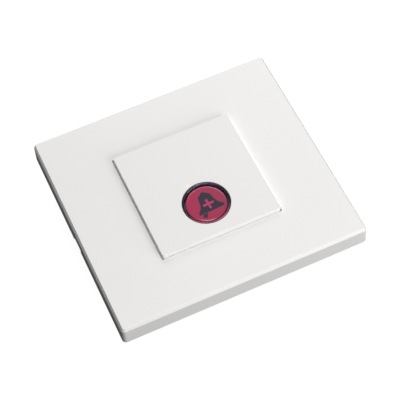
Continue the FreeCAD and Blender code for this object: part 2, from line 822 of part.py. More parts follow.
def terminal_screws():
    """Slotted clamp screws in the wells, their tips just inside the cages."""
    screws = []
    head_top = cage_under - clamp_screw_stand
    head_foot = head_top - clamp_screw_head_height
    for x in pole_places():
        head = post(clamp_screw_head, head_foot, head_top, x, cage_middle)
        slot = centred_block(2 * clamp_screw_head, screw_slot, head_foot, head_foot + screw_slot_depth, x,
                             cage_middle)
        tip = cage_under + cage_floor + clamp_screw_bite
        shank = post(clamp_screw_shank, head_top, tip, x, cage_middle)
        screws.append(head.cut(slot).fuse(shank).removeSplitter())
    return Part.makeCompound(screws)


pieces = {
    "cover_plate": cover_plate,
    "mounting_frame": mounting_frame,
    "module_front": module_front,
    "module_housing": module_housing,
    "light_ring": light_ring,
    "button_lens": button_lens,
    "bell_symbol": bell_symbol,
    "diffuser_disc": diffuser_disc,
    "button_carrier": button_carrier,
    "return_spring": return_spring,
    "circuit_board": circuit_board,
    "board_screws": board_screws,
    "switch_body": switch_body,
    "switch_cover": switch_cover,
    "switch_plunger": switch_plunger,
    "indicator_leds": indicator_leds,
    "controller_chip": controller_chip,
    "driver_transistors": driver_transistors,
    "chip_resistors": chip_resistors,
    "filter_capacitor": filter_capacitor,
    "terminal_block": terminal_block,
    "terminal_clamps": terminal_clamps,
    "terminal_screws": terminal_screws,
}

os.makedirs("parts", exist_ok=True)
for name, make in pieces.items():
    shape = make()
    if not shape.isValid() or not shape.Solids:
        raise ValueError(name + " is not a valid solid")
    shape.exportStep("parts/" + name + ".step")
    print(name, len(shape.Solids), "solids", round(shape.Volume, 2), "mm3")
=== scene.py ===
import math

import bmesh
import bpy
from bpy.props import FloatProperty, FloatVectorProperty, IntProperty, PointerProperty
from bpy.types import Operator, Panel, PropertyGroup
from mathutils import Euler, Matrix, Vector


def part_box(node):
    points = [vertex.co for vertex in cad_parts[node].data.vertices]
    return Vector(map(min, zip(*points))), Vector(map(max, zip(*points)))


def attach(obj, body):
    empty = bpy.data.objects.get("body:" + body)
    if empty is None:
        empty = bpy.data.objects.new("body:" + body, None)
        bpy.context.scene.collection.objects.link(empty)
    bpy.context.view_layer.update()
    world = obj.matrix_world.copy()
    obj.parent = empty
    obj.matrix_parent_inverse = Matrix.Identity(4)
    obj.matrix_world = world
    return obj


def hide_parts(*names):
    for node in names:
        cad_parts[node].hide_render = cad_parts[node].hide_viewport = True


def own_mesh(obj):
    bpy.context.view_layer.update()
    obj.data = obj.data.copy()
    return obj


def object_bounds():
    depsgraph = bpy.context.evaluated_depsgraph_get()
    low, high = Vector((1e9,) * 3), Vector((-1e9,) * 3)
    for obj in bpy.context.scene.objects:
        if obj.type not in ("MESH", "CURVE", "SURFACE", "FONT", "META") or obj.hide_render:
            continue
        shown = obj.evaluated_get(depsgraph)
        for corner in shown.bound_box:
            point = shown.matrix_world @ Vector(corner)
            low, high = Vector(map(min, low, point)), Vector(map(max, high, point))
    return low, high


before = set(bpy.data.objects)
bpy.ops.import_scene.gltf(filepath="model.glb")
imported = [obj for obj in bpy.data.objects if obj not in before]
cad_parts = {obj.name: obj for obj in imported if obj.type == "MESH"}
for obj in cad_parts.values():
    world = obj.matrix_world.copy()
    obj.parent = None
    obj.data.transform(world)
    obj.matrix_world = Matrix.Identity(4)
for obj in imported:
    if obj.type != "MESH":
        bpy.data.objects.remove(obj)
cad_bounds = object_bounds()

bl_info = {
    "name": "Call Button Finishes",
    "version": (1, 0, 0),
    "blender": (4, 5, 0),
    "location": "View3D > Sidebar > Call Button",
    "description": "Gives a flush-mounted call button its finishes and fine detail, and sets up its studio",
    "category": "Object",
}

mm = 0.001
# Right half of the bell from its crown to its foot, about the middle of the plus, in millimetres
BELL_HALF = ((0, 5.3), (0.3, 5.28), (0.6, 5.07), (0.93, 4.72), (1.33, 4.42), (1.79, 4.13), (2.14, 3.75), (2.34, 3.25),
             (2.47, 2.7), (2.55, 2.1), (2.64, 1.5), (2.75, 0.95), (2.89, 0.45), (3.1, -0.1), (3.38, -0.62),
             (3.72, -1.08), (4.12, -1.48), (4.52, -1.86), (4.8, -2.3), (4.87, -2.75), (4.72, -3.02), (4.5, -3.07))
# Faces that meet at more than this angle are shaded apart
SHARP_ANGLE = math.radians(35)
# Corners of a mesh that lie closer than this count as one, and levels as the same
WELD = 0.0005 * mm
# Solids that cut or fill others reach this much past them
OVERLAP = 0.1 * mm
# Radius that the light shows on a moulded or machined edge
EDGE_RADIUS = 0.08 * mm
# A surface's slow change of tone is this many times as wide as its fine pattern
TONE_SPREAD = 20
# Each lamp's azimuth and elevation in degrees, and its distance, width and height in metres
LAMPS = {
    "overhead": (0, 84, 0.6, 0.22, 0.42),
    "back": (160, 35, 0.6, 0.5, 0.3),
    "front": (30, 22, 0.5, 0.5, 0.35),
}


def linear(hex_colour):
    """Linear red, green and blue of an sRGB colour written as #RRGGBB."""
    channels = [int(hex_colour[i:i + 2], 16) / 255 for i in (1, 3, 5)]
    return tuple(c / 12.92 if c <= 0.04045 else ((c + 0.055) / 1.055) ** 2.4 for c in channels)


def colour_property(name, description, hex_colour):
    """Colour that the user can change, given by its sRGB value."""
    return FloatVectorProperty(name=name, description=description, subtype="COLOR", size=3,
                               min=0, max=1, default=linear(hex_colour))


def length_property(name, description, millimetres):
    """Length that the user can change, given in millimetres and kept in metres."""
    return FloatProperty(name=name, description=description, unit="LENGTH", min=0, precision=5,
                         default=millimetres * mm)


def level_property(name, description, value, unit="NONE"):
    """Strength or power that the user can change."""
    return FloatProperty(name=name, description=description, unit=unit, min=0, default=value)


def angle_property(name, description, degrees):
    """Angle that the user can change, given in degrees and kept in radians."""
    return FloatProperty(name=name, description=description, unit="ROTATION", default=math.radians(degrees))


def place_property(name, description, x, y):
    """Place on the face that the user can change, given in millimetres and kept in metres."""
    return FloatVectorProperty(name=name, description=description, subtype="TRANSLATION", unit="LENGTH", size=2,
                               precision=5, default=(x * mm, y * mm))


class MouldedParts(PropertyGroup):
    """White mouldings: the cover plate, the module front and the housing behind it."""
    plate_colour: colour_property("Plate", "Colour of the cover plate", "#F1F0EF")
    front_colour: colour_property("Front", "Colour of the module front", "#EEEDEB")
    housing_colour: colour_property("Housing", "Colour of the housing behind the front", "#C9CBCC")
    ripple_spacing: length_property("Ripple", "Spacing of the faint ripple of a moulded face", 2.4)
    ripple_height: length_property("Ripple height", "Height of that ripple", 0.002)
    # The real grain is finer than 0.1 mm. It is drawn coarser so that it shows.
    grain_spacing: length_property("Grain", "Spacing of the fine grain of a satin face", 0.3)
    grain_height: length_property("Grain height", "Height of that grain", 0.003)
    coarse_height: length_property("Coarse grain height", "Height of the grain of a duller face", 0.006)
    dust_spacing: length_property("Dust spacing", "Spacing of the specks of dust", 9.0)
    dust_radius: length_property("Dust size", "Radius of a speck of dust", 0.14)
    dust_colour: colour_property("Dust", "Colour of the dust", "#6E6A66")
    front_corner: length_property("Front corner", "Radius of the front's corners", 1.0)
    front_edge: length_property("Front edge", "Height of the rounding that the crisp edge replaces", 0.96)
    wall_lean: length_property("Wall lean", "Lean of the wall round the front", 0.35)
    # Two spots coloured onto the face above the button: a pure white one and a faint bluish grey one.
    fleck_place: place_property("Fleck", "Place of the pale fleck over the button", -3.10, -0.08)
    fleck_radius: length_property("Fleck size", "Radius of the pale fleck", 0.6)
    fleck_colour: colour_property("Fleck colour", "Colour of the pale fleck", "#FFFFFF")
    grey_spot_place: place_property("Smear", "Place of the faint smear over the button", 7.68, -1.28)
    grey_spot_radius: length_property("Smear size", "Radius of the faint smear", 0.7)
    grey_spot_level: level_property("Smear level", "Strength of the faint smear", 0.6)
    grey_spot_colour: colour_property("Smear colour", "Colour of the faint smear", "#DDE0E6")


class PushButton(PropertyGroup):
    """Lens, legend and light ring."""
    lens_colour: colour_property("Lens", "Colour of the red lens", "#AB2D52")
    plus_colour: colour_property("Plus", "Colour of the lens in the plus", "#B83A68")
    plus_reach: length_property("Plus reach", "Radius round the plus inside which the lens has its colour", 2.43)
    # Painted shade: the lens's colour turns darker towards its right edge.
    lens_painted_shade_colour: colour_property("Lens shade", "Colour of the lens towards its right edge", "#8F3A54")
    lens_painted_shade_level: level_property("Lens shade level", "Strength of that shade at the edge", 0.6)
    ink_colour: colour_property("Legend", "Colour of the printed legend", "#312B3E")
    ring_colour: colour_property("Ring", "Tint of the clear light ring", "#CBBAC4")
    # Painted shade: the dark blue-grey of the ring's outer wall and of the carrier's outside.
    painted_shade_wall_colour: colour_property("Sleeve", "Colour of the lacquer on the ring's outer wall", "#7E7A98")
    foot_colour: colour_property("Foot", "Colour of the ring's underside", "#3A3745")
    # Painted glow: the ring's foot gives off light of its own though it is no lamp, full on the near side and none on
    # the far side.
    painted_glow_colour: colour_property("Glow", "Colour of the light in the ring's foot", "#A04A5E")
    glow: level_property("Glow level", "Strength of the light in the ring's foot", 0.9)
    painted_glow_spread: level_property("Glow spread", "Unevenness of that light, as a share of its strength", 0.2)
    painted_glow_patch: length_property("Glow patches", "Spacing of its brighter and dimmer patches", 4.0)
    painted_glow_full: length_property("Full glow", "Distance below the button's middle where the light is full", 7.0)
    painted_glow_end: length_property("Glow end", "Distance below the button's middle where the light ends", 2.0)
    foot_depth: length_property("Foot depth", "Depth of the ring's lit underside below the carrier's top", 2.0)
    lens_flat: length_property("Lens flat", "Radius of the flat middle of the lens", 6.6)
    lens_fall: length_property("Lens fall", "Fall of the lens from its flat middle to its edge", 0.4)
    lens_strip: length_property("Lens strip", "Width of the ring of faces that keeps the middle flat", 0.066)
    rim_steps: IntProperty(name="Rim steps", description="Steps of the lens's falling rim", min=2, default=12)
    lens_wall: length_property("Lens wall", "Thickness of the wall round the lens", 0.6)
    lens_roof: length_property("Lens roof", "Thickness of the lens", 1.0)
    ink_proud: length_property("Ink height", "Height of the legend over the lens", 0.01)
    legend_place: place_property("Legend place", "Middle of the plus, from the middle of the button", 0.6, -0.38)
    legend_turn: angle_property("Legend turn", "Turn of the legend", 3.4)
    plus_length: length_property("Plus length", "Length of the arms of the plus", 4.05)
    plus_width: length_property("Plus width", "Width of the arms of the plus", 0.9)
    clapper_width: length_property("Clapper width", "Width of the clapper", 1.5)
    clapper_length: length_property("Clapper length", "Length of the clapper", 1.62)
    clapper_gap: length_property("Clapper gap", "Gap between the bell and its clapper", 0.12)
    clapper_shift: length_property("Clapper shift", "Distance of the clapper from the bell's middle line", 2.75)
    clapper_turn: angle_property("Clapper turn", "Tilt of the clapper", 27)
    haze_spacing: length_property("Haze", "Spacing of the faint unevenness of a polished face", 0.5)
    haze_height: length_property("Haze height", "Height of that unevenness", 0.001)
    # Painted shade: the ring's outer wall between these radii is coloured dark.
    collar_radius: length_property("Collar", "Radius from which the ring's wall is lacquered", 8.5)
    collar_wall: length_property("Collar wall", "Depth of that wall towards the flange's edge", 0.1)
    segments: IntProperty(name="Segments", description="Segments round the lens", min=24, default=192)


class InsideParts(PropertyGroup):
    """Parts behind the front."""
    board_colour: colour_property("Board", "Colour of the solder mask over bare laminate", "#185237")
    copper_colour: colour_property("Copper", "Colour of the solder mask over copper", "#2A7A50")
    milky_colour: colour_property("Milky parts", "Colour of the milky parts", "#E6E3DA")
    lamp_colour: colour_property("Lamp windows", "Colour of the lamps' windows", "#D9C24E")
    terminal_colour: colour_property("Terminals", "Colour of the terminal block", "#4B8159")
    black_colour: colour_property("Black parts", "Colour of chips and switch", "#1D1D1F")
    zinc_colour: colour_property("Zinc", "Colour of the zinc-plated sheet", "#B9BDC2")
    tin_colour: colour_property("Tin", "Colour of tinned parts", "#C6C6C2")
    spring_colour: colour_property("Spring", "Colour of the spring wire", "#8C8A86")
    brass_colour: colour_property("Brass", "Colour of the clamps", "#C9A45A")
    can_colour: colour_property("Can", "Colour of the capacitor's can", "#C9CBCE")
    # Real tool marks are finer. They are drawn coarser so that they show.
    mark_spacing: length_property("Tool marks", "Spacing of the marks along drawn and turned metal", 0.12)
    mark_height: length_property("Mark height", "Height of those marks", 0.003)
    spangle_spacing: length_property("Spangle", "Spacing of the crystals of the zinc", 0.8)
    spangle_height: length_property("Spangle height", "Height of those crystals", 0.009)
    # Painted shade: the carrier is coloured dark outside this radius.
    carrier_wall: length_property("Carrier wall", "Radius from which the carrier is lacquered", 6.74)
    lamp_circle: length_property("Lamp place", "Place of a lamp on each side of the button's middle", 4.95)
    lamp_window: length_property("Lamp window", "Radius of a lamp's window", 1.06)
    screw_place: length_property("Screw place", "Place of a board screw on each side of the board's middle", 16.3)
    screw_pad: length_property("Screw pad", "Radius of the tinned pad round a board screw", 2.5)
    pin_pad: length_property("Pin pad", "Radius of the tinned pad round a terminal pin", 1.0)
    pole_pitch: length_property("Pole pitch", "Distance from one terminal to the next", 5.08)
    track_spacing: length_property("Tracks", "Width of a strip of copper and the gap beside it", 1.27)
    track_length: length_property("Track length", "Length of a strip of copper", 11.43)
    track_gap: length_property("Track gap", "Width of the gap between two strips", 0.2)
    via_spacing: length_property("Vias", "Spacing of the plated holes", 3.6)
    via_radius: length_property("Via size", "Radius of a plated hole", 0.22)
    chip_half: length_property("Chip half", "Half of the width of the controller's package", 1.96)
    transistor_half: length_property("Transistor half", "Half of the width of a transistor's package", 0.71)
    resistor_half: length_property("Resistor half", "Half of the length between a resistor's end caps", 1.1)
    can_base: length_property("Can base", "Height of the capacitor's black base", 0.91)
    stripe_place: length_property("Can stripe", "Distance of the black stripe from the can's middle", 1.2)


class Studio(PropertyGroup):
    """Floor, lamps and camera."""
    floor_colour: colour_property("Floor", "Colour of the floor in the lamps' light", "#606060")
    floor_radius: length_property("Floor radius", "Radius of the round floor", 3000)
    floor_gap: length_property("Floor gap", "Gap between the part and the floor", 0.1)
    floor_white: level_property("Floor white", "White that the camera sees on the floor", 0.96)
    mirror_level: level_property("Mirrored floor", "White that the part mirrors from the far floor", 0.8)
    mirror_start: length_property("Mirror start", "Distance from the part's middle where that white begins", 65)
    mirror_end: length_property("Mirror end", "Distance from the part's middle where that white is full", 210)
    patch_inset: length_property("Floor patch", "Inset of the lit patch hidden under the plate", 3.0)
    patch_level: level_property("Patch level", "Light of that patch", 0.5)
    fill_level: level_property("Fill", "Level of the even light from all sides", 0.03)
    mirrored_fill: level_property("Mirrored fill", "White that the part mirrors from all sides", 0.4)
    overhead: level_property("Overhead lamp", "Power of the overhead lamp", 1.66, "POWER")
    back: level_property("Back lamp", "Power of the lamp behind", 1.6, "POWER")
    front: level_property("Front lamp", "Power of the low front lamp", 2.12, "POWER")
    lens_length: FloatProperty(name="Focal length", description="Focal length in millimetres", min=1, default=125.31)
    distance: length_property("Distance", "Distance from the camera to the aim", 485.33)
    aim: FloatVectorProperty(name="Aim", description="Point that the camera looks at", subtype="TRANSLATION",
                             unit="LENGTH", size=3, default=(-1.174 * mm, -6.245 * mm, 8 * mm))
    azimuth: angle_property("Azimuth", "Direction of the camera round the plate", -19.870)
    elevation: angle_property("Elevation", "Height of the camera over the plate", 57.483)
    roll: angle_property("Roll", "Tilt of the picture", -5.261)


def add(tree, kind, inputs=None, **settings):
    """Adds a node, with its settings, and fills or links its inputs."""
    made = tree.nodes.new(kind)
    for name, value in settings.items():
        setattr(made, name, value)
    for socket, value in (inputs or {}).items():
        if isinstance(value, bpy.types.NodeSocket):
            tree.links.new(value, made.inputs[socket])
        else:
            made.inputs[socket].default_value = value
    return made


def start_material(name):
    """New material with its shader, and the place on the part as a texture coordinate."""
    material = bpy.data.materials.new(name)
    material.use_nodes = True
    tree = material.node_tree
    shader = next(n for n in tree.nodes if n.type == "BSDF_PRINCIPLED")
    place = add(tree, "ShaderNodeTexCoord").outputs["Object"]
    return material, tree, shader, place


def socket_of(shader, name):
    """Input of a shader, named in lower case with underscores."""
    return next(s for s in shader.inputs if s.name.lower().replace(" ", "_") == name)


def set_shader(shader, **values):
    """Sets constants on the shader's own sockets."""
    for name, value in values.items():
        socket_of(shader, name).default_value = value


def rgba(colour):
    """Colour with full opacity."""
    return (*colour, 1)


def per(length):
    """Scale of a pattern that repeats once in this length."""
    return 1 / length


def clothe(name, made):
    """Gives a node of the frame its material."""
    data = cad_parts[name].data
    data.materials.clear()
    data.materials.append(made[0])


def textured(name, colour, spacing, height, roughness, shade=0.9, gloss_spread=0.2, ripple=None, **values):
    """Material with fine relief, an uneven shine, a slight change of tone and edges that catch the light."""
    material, tree, shader, place = start_material(name)
    grain = noise(tree, place, spacing)
    tone = noise(tree, place, TONE_SPREAD * (ripple[0] if ripple else spacing))
    darker = tuple(c * shade for c in colour)
    base = add(tree, "ShaderNodeMix", {"Factor": tone, "A": rgba(colour), "B": rgba(darker)}, data_type="RGBA")
    gloss = mapped(tree, grain, result=(roughness * (1 - gloss_spread), roughness * (1 + gloss_spread)))
    normal = add(tree, "ShaderNodeBevel", {"Radius": EDGE_RADIUS}).outputs["Normal"]
    if ripple:
        normal = raised(tree, noise(tree, place, ripple[0], detail=1), ripple[1], normal)
    tree.links.new(base.outputs["Result"], shader.inputs["Base Color"])
    tree.links.new(gloss, shader.inputs["Roughness"])
    tree.links.new(raised(tree, grain, height, normal), shader.inputs["Normal"])
    set_shader(shader, **values)
    return material, tree, shader, place


def moulded_white(name, colour, sizes, roughness, grain_share, gloss_range=0.04, dust_level=0.25):
    """White moulded plastic with a faint ripple under its fine grain, and a few specks of dust."""
    made = textured(name, colour, sizes.grain_spacing, sizes.grain_height * grain_share, roughness, shade=0.975,
                    gloss_spread=gloss_range / roughness, ripple=(sizes.ripple_spacing, sizes.ripple_height), ior=1.53)
    material, tree, shader, place = made
    dust = add(tree, "ShaderNodeTexVoronoi", {"Vector": place, "Scale": per(sizes.dust_spacing)})
    edge = sizes.dust_radius / sizes.dust_spacing
    speck = mapped(tree, dust.outputs["Distance"], (edge / 2, edge), (dust_level, 0))
    overlay(tree, shader, speck, base_color=rgba(sizes.dust_colour))
    return made


def overlay(tree, shader, mask, **values):
    """Gives part of a material another finish, where the mask is 1."""
    for name, value in values.items():
        socket = socket_of(shader, name)
        below = socket.links[0].from_socket if socket.links else socket.default_value
        kind = "RGBA" if name == "base_color" else "FLOAT"
        mixed = add(tree, "ShaderNodeMix", {"Factor": mask, "A": below, "B": value}, data_type=kind)
        tree.links.new(mixed.outputs["Result"], socket)


def compute(tree, operation, *values):
    """Result of a calculation. A comparison gives 1 where it holds."""
    return add(tree, "ShaderNodeMath", dict(enumerate(values)), operation=operation).outputs[0]


def mapped(tree, value, source=(0, 1), result=(0, 1)):
    """Value mapped from one range to another and kept within it."""
    return add(tree, "ShaderNodeMapRange", {"Value": value, "From Min": source[0], "From Max": source[1],
                                            "To Min": result[0], "To Max": result[1]}).outputs["Result"]


def noise(tree, place, spacing, detail=2):
    """Soft uneven pattern between 0 and 1, its spacing given in metres."""
    return add(tree, "ShaderNodeTexNoise", {"Vector": place, "Scale": per(spacing), "Detail": detail}).outputs["Fac"]


def raised(tree, pattern, height, normal):
    """Normal of a surface that has a pattern raised on it."""
    return add(tree, "ShaderNodeBump", {"Height": pattern, "Distance": height, "Normal": normal}).outputs["Normal"]


def from_place(tree, place, x, y, fold=(0, 0)):
    """Distance in plan from a place, or from its images on both sides at the fold's distances."""
    moved = add(tree, "ShaderNodeVectorMath", {0: place, 1: (x, y, 0)}, operation="SUBTRACT").outputs[0]
    if fold != (0, 0):
        moved = add(tree, "ShaderNodeVectorMath", {0: moved}, operation="ABSOLUTE").outputs[0]
        moved = add(tree, "ShaderNodeVectorMath", {0: moved, 1: (*fold, 0)}, operation="SUBTRACT").outputs[0]
    level = add(tree, "ShaderNodeVectorMath", {0: moved, 1: (1, 1, 0)}, operation="MULTIPLY").outputs[0]
    return add(tree, "ShaderNodeVectorMath", {0: level}, operation="LENGTH").outputs["Value"]


def from_plane(tree, place, axis, middle):
    """Distance along an axis from an upright plane that crosses it."""
    along = add(tree, "ShaderNodeSeparateXYZ", {0: place}).outputs[axis]
    return compute(tree, "ABSOLUTE", compute(tree, "SUBTRACT", along, middle))


def revolved(profile, centre, segments):
    """Mesh turned about an upright axis from a closed profile of radius and height."""
    mesh = bmesh.new()
    rings = []
    for radius, height in profile:
        ring = []
        for i in range(segments):
            angle = 2 * math.pi * i / segments
            ring.append(mesh.verts.new((centre.x + radius * math.cos(angle),
                                        centre.y + radius * math.sin(angle), height)))
        rings.append(ring)
    for number, ring in enumerate(rings):
        above = rings[(number + 1) % len(rings)]
        for i in range(segments):
            j = (i + 1) % segments
            mesh.faces.new((ring[i], ring[j], above[j], above[i]))
    bmesh.ops.recalc_face_normals(mesh, faces=mesh.faces)
    return mesh


def copy_of(node):
    """Mesh with the shape of a node of the frame, its split corners joined again."""
    mesh = bmesh.new()
    mesh.from_mesh(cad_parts[node].data)
    for layer in list(mesh.loops.layers.float_vector):
        mesh.loops.layers.float_vector.remove(layer)
    bmesh.ops.remove_doubles(mesh, verts=mesh.verts, dist=WELD)
    return mesh


def rounded_square(half, radius, steps=8):
    """Outline of a square with rounded corners."""
    outline = []
    for quarter, (x, y) in enumerate(((1, 1), (-1, 1), (-1, -1), (1, -1))):
        for step in range(steps + 1):
            angle = math.pi / 2 * (quarter + step / steps)
            outline.append((x * (half - radius) + radius * math.cos(angle),
                            y * (half - radius) + radius * math.sin(angle)))
    return outline


def stacked(sections, mesh=None):
    """Solid through closed outlines with as many points each, given with their levels."""
    mesh = mesh or bmesh.new()
    loops = [[mesh.verts.new((x, y, level)) for x, y in outline] for outline, level in sections]
    mesh.faces.new(loops[0])
    mesh.faces.new(loops[-1])
    for lower, upper in zip(loops, loops[1:]):
        for i in range(len(lower)):
            j = (i + 1) % len(lower)
            mesh.faces.new((lower[i], lower[j], upper[j], upper[i]))
    bmesh.ops.recalc_face_normals(mesh, faces=mesh.faces)
    return mesh


def prism(outline, low, high, mesh=None):
    """Upright solid between two levels over a closed outline."""
    return stacked(((outline, low), (outline, high)), mesh)


def loose_object(mesh, name):
    """Object that holds a mesh in the making."""
    data = bpy.data.meshes.new(name)
    mesh.to_mesh(data)
    mesh.free()
    made = bpy.data.objects.new(name, data)
    bpy.context.scene.collection.objects.link(made)
    return made


def discard(*spares):
    """Removes objects in the making, with their meshes."""
    for spare in spares:
        bpy.data.meshes.remove(spare.data)


def cut_by(mesh, tool, operation="DIFFERENCE"):
    """Mesh with an object's shape taken out of it, added to it or shared with it."""
    uncut = loose_object(mesh, "uncut")
    cutter = uncut.modifiers.new("cut", "BOOLEAN")
    cutter.operation = operation
    cutter.solver = "EXACT"
    cutter.object = tool
    result = bmesh.new()
    result.from_object(uncut, bpy.context.evaluated_depsgraph_get())
    discard(uncut)
    return result


def rounded_line(points, steps=4):
    """Smooth line through points in plan."""
    line = []
    for i in range(len(points) - 1):
        before, start = Vector(points[max(i - 1, 0)]), Vector(points[i])
        end, after = Vector(points[i + 1]), Vector(points[min(i + 2, len(points) - 1)])
        for step in range(steps):
            t = step / steps
            line.append(0.5 * (2 * start + (end - before) * t + (2 * before - 5 * start + 4 * end - after) * t ** 2
                               + (3 * start - before - 3 * end + after) * t ** 3))
    return line + [Vector(points[-1])]


def legend_mesh(sizes, centre, low, high):
    """Bell with a plus cut out of it, and its clapper."""
    half = [point * mm for point in rounded_line(BELL_HALF)]
    bell = half + [Vector((-point.x, point.y)) for point in reversed(half[1:])]
    arm, wide = sizes.plus_length / 2, sizes.plus_width / 2
    plus = [(arm, wide), (wide, wide), (wide, arm)]
    plus += [(-x, y) for x, y in reversed(plus)]
    plus += [(-x, -y) for x, y in plus]
    tool = loose_object(prism(plus, low - OVERLAP, high + OVERLAP), "plus")
    mesh = cut_by(prism(bell, low, high), tool)
    discard(tool)
    turn, side = sizes.clapper_turn, sizes.clapper_width / 2
    root = Vector((-sizes.clapper_shift, half[-1].y - sizes.clapper_gap))
    end = root - Vector((math.sin(turn), math.cos(turn))) * sizes.clapper_length
    level = Vector((side / math.cos(turn), 0))
    across = Vector((math.cos(turn), -math.sin(turn))) * side
    prism([root + level, root - level, end - across, end + across], low, high, mesh)
    turned = Matrix.Rotation(sizes.legend_turn, 4, "Z")
    shift = Matrix.Translation((centre.x + sizes.legend_place[0], centre.y + sizes.legend_place[1], 0))
    bmesh.ops.transform(mesh, matrix=shift @ turned, verts=mesh.verts)
    return mesh


def smooth(mesh):
    """Smooth faces with sharp edges where the surface turns, and where an edge is sharp already."""
    for face in mesh.faces:
        face.smooth = True
    for edge in mesh.edges:
        edge.smooth = edge.smooth and edge.calc_face_angle(math.pi) < SHARP_ANGLE


def finish_piece(mesh, name, materials, body, slot, *nodes):
    """Turns a mesh in the making into a piece that rides on a body and stands for nodes of the frame."""
    smooth(mesh)
    data = bpy.data.meshes.new(name)
    mesh.to_mesh(data)
    mesh.free()
    for material in materials:
        data.materials.append(material)
    piece = bpy.data.objects.new(name, data)
    bpy.context.scene.collection.objects.link(piece)
    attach(piece, body)
    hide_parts(*nodes)
    return piece


class CALLBUTTON_OT_cover_plate(Operator):
    """Finishes the cover plate"""
    bl_idname = "callbutton.cover_plate"
    bl_label = "Cover Plate"

    def execute(self, context):
        sizes = context.scene.call_button_moulded
        # A satin face spreads the lamps' light over the whole plate.
        clothe("cover_plate", moulded_white("asa_white_moulded_satin", sizes.plate_colour, sizes, roughness=0.34,
                                            grain_share=1))
        return {"FINISHED"}


class CALLBUTTON_OT_module_front(Operator):
    """Builds the square front of the module with its crisp edge"""
    bl_idname = "callbutton.module_front"
    bl_label = "Module Front"

    def execute(self, context):
        sizes = context.scene.call_button_moulded
        # A shallower grain than the plate's keeps the face even and its edges crisp.
        material, tree, shader, place = moulded_white("abs_white_moulded_fine_satin", sizes.front_colour, sizes,
                                                      roughness=0.4, grain_share=0.5)
        # A pure white spot and a faint bluish grey spot on the face.
        for spot, radius, level, colour in (
                (sizes.fleck_place, sizes.fleck_radius, 1, sizes.fleck_colour),
                (sizes.grey_spot_place, sizes.grey_spot_radius, sizes.grey_spot_level, sizes.grey_spot_colour)):
            mask = mapped(tree, from_place(tree, place, *spot), (0, radius), (level, 0))
            overlay(tree, shader, mask, base_color=rgba(colour))
        # A crisp edge over a leaning wall shows as two fine lines.
        low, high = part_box("module_front")
        mesh = self.crisp_edge(sizes, low, high)
        for edge in mesh.edges:
            edge.smooth = not any(face.calc_center_median().z > high.z - WELD for face in edge.link_faces)
        finish_piece(mesh, "front_square_white", [material], "base", "front_plastic", "module_front")
        return {"FINISHED"}

    def crisp_edge(self, sizes, low, high):
        """Fills the rounded edge with a square rim, then cuts the walls back so that they lean in."""
        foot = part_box("cover_plate")[1].z
        lean = sizes.wall_lean / (high.z - foot)
        inner = rounded_square(high.x - sizes.front_edge - OVERLAP, sizes.front_corner)
        outer = rounded_square(high.x - OVERLAP / 2, sizes.front_corner)
        hollow = loose_object(prism(inner, high.z - sizes.front_edge - OVERLAP, high.z + OVERLAP), "hollow")
        rim = loose_object(cut_by(prism(outer, high.z - sizes.front_edge, high.z), hollow), "rim")
        insets = ((-OVERLAP, low.z - OVERLAP), (-OVERLAP, foot - OVERLAP), (-OVERLAP * lean, foot - OVERLAP),
                  (sizes.wall_lean + OVERLAP * lean, high.z + OVERLAP))
        walls = loose_object(stacked([(rounded_square(high.x - inset, sizes.front_corner - inset), level)
                                      for inset, level in insets]), "walls")
        mesh = cut_by(cut_by(copy_of("module_front"), rim, "UNION"), walls, "INTERSECT")
        discard(hollow, rim, walls)
        return mesh


class CALLBUTTON_OT_module_housing(Operator):
    """Finishes the housing behind the front"""
    bl_idname = "callbutton.module_housing"
    bl_label = "Module Housing"

    def execute(self, context):
        sizes = context.scene.call_button_moulded
        # Eroded mould walls leave a dull grain.
        clothe("module_housing", textured("abs_grey_moulded_satin", sizes.housing_colour, sizes.grain_spacing,
                                          sizes.coarse_height, roughness=0.45))
        return {"FINISHED"}


class CALLBUTTON_OT_light_ring(Operator):
    """Gives the clear light ring its outer wall in painted shade and a painted glow in its foot"""
    bl_idname = "callbutton.light_ring"
    bl_label = "Light Ring"

    def execute(self, context):
        sizes = context.scene.call_button_push
        haze = (sizes.haze_spacing, sizes.haze_height)
        low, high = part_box("light_ring")
        middle = (low + high) / 2
        # Clear tinted acrylic shows the wall in painted shade behind it on the far side and the painted glow of its
        # foot on the near one.
        clear = textured("acrylic_clear_moulded_polished", sizes.ring_colour, *haze, roughness=0.12,
                         transmission_weight=1, ior=1.49)[0]
        # Lacquer keeps the light inside the ring and looks dark navy through it.
        # Painted shade: the ring's outer wall is coloured dark blue-grey, so that the clear ring looks dark navy on
        # its far side.
        shaded_wall = textured("lacquer_blue_grey_sprayed", sizes.painted_shade_wall_colour, *haze, roughness=0.5)[0]
        # Painted glow: the underside gives off light of its own in patches, full on the near side and none from just
        # before the middle, though it is no lamp.
        lit, tree, shader, place = textured("acrylic_frosted_lit", sizes.foot_colour, *haze, roughness=0.6)
        level = mapped(tree, noise(tree, place, sizes.painted_glow_patch), result=(
            sizes.glow * (1 - sizes.painted_glow_spread), sizes.glow * (1 + sizes.painted_glow_spread)))
        height = add(tree, "ShaderNodeSeparateXYZ", {0: place}).outputs["Y"]
        lower = mapped(tree, height, (middle.y - sizes.painted_glow_full, middle.y - sizes.painted_glow_end), (1, 0))
        tree.links.new(compute(tree, "MULTIPLY", level, lower), shader.inputs["Emission Strength"])
        set_shader(shader, emission_color=rgba(sizes.painted_glow_colour))
        mesh = copy_of("light_ring")
        self.part_faces(mesh, sizes, middle)
        finish_piece(mesh, "ring_clear_red", [clear, shaded_wall, lit], "base", "red_lens", "light_ring")
        return {"FINISHED"}

    def part_faces(self, mesh, sizes, middle, looks_down=-0.9, upright=0.5):
        """Gives the ring's faces its three materials: clear, painted shade on the outer wall, painted glow underneath.
        """
        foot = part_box("button_carrier")[1].z - sizes.foot_depth
        for face in mesh.faces:
            centre = face.calc_center_median()
            away = math.hypot(centre.x - middle.x, centre.y - middle.y)
            if face.normal.z < looks_down and centre.z > foot:
                face.material_index = 2
            elif 0 < away - sizes.collar_radius < sizes.collar_wall and abs(face.normal.z) < upright:
                face.material_index = 1
            else:
                face.material_index = 0


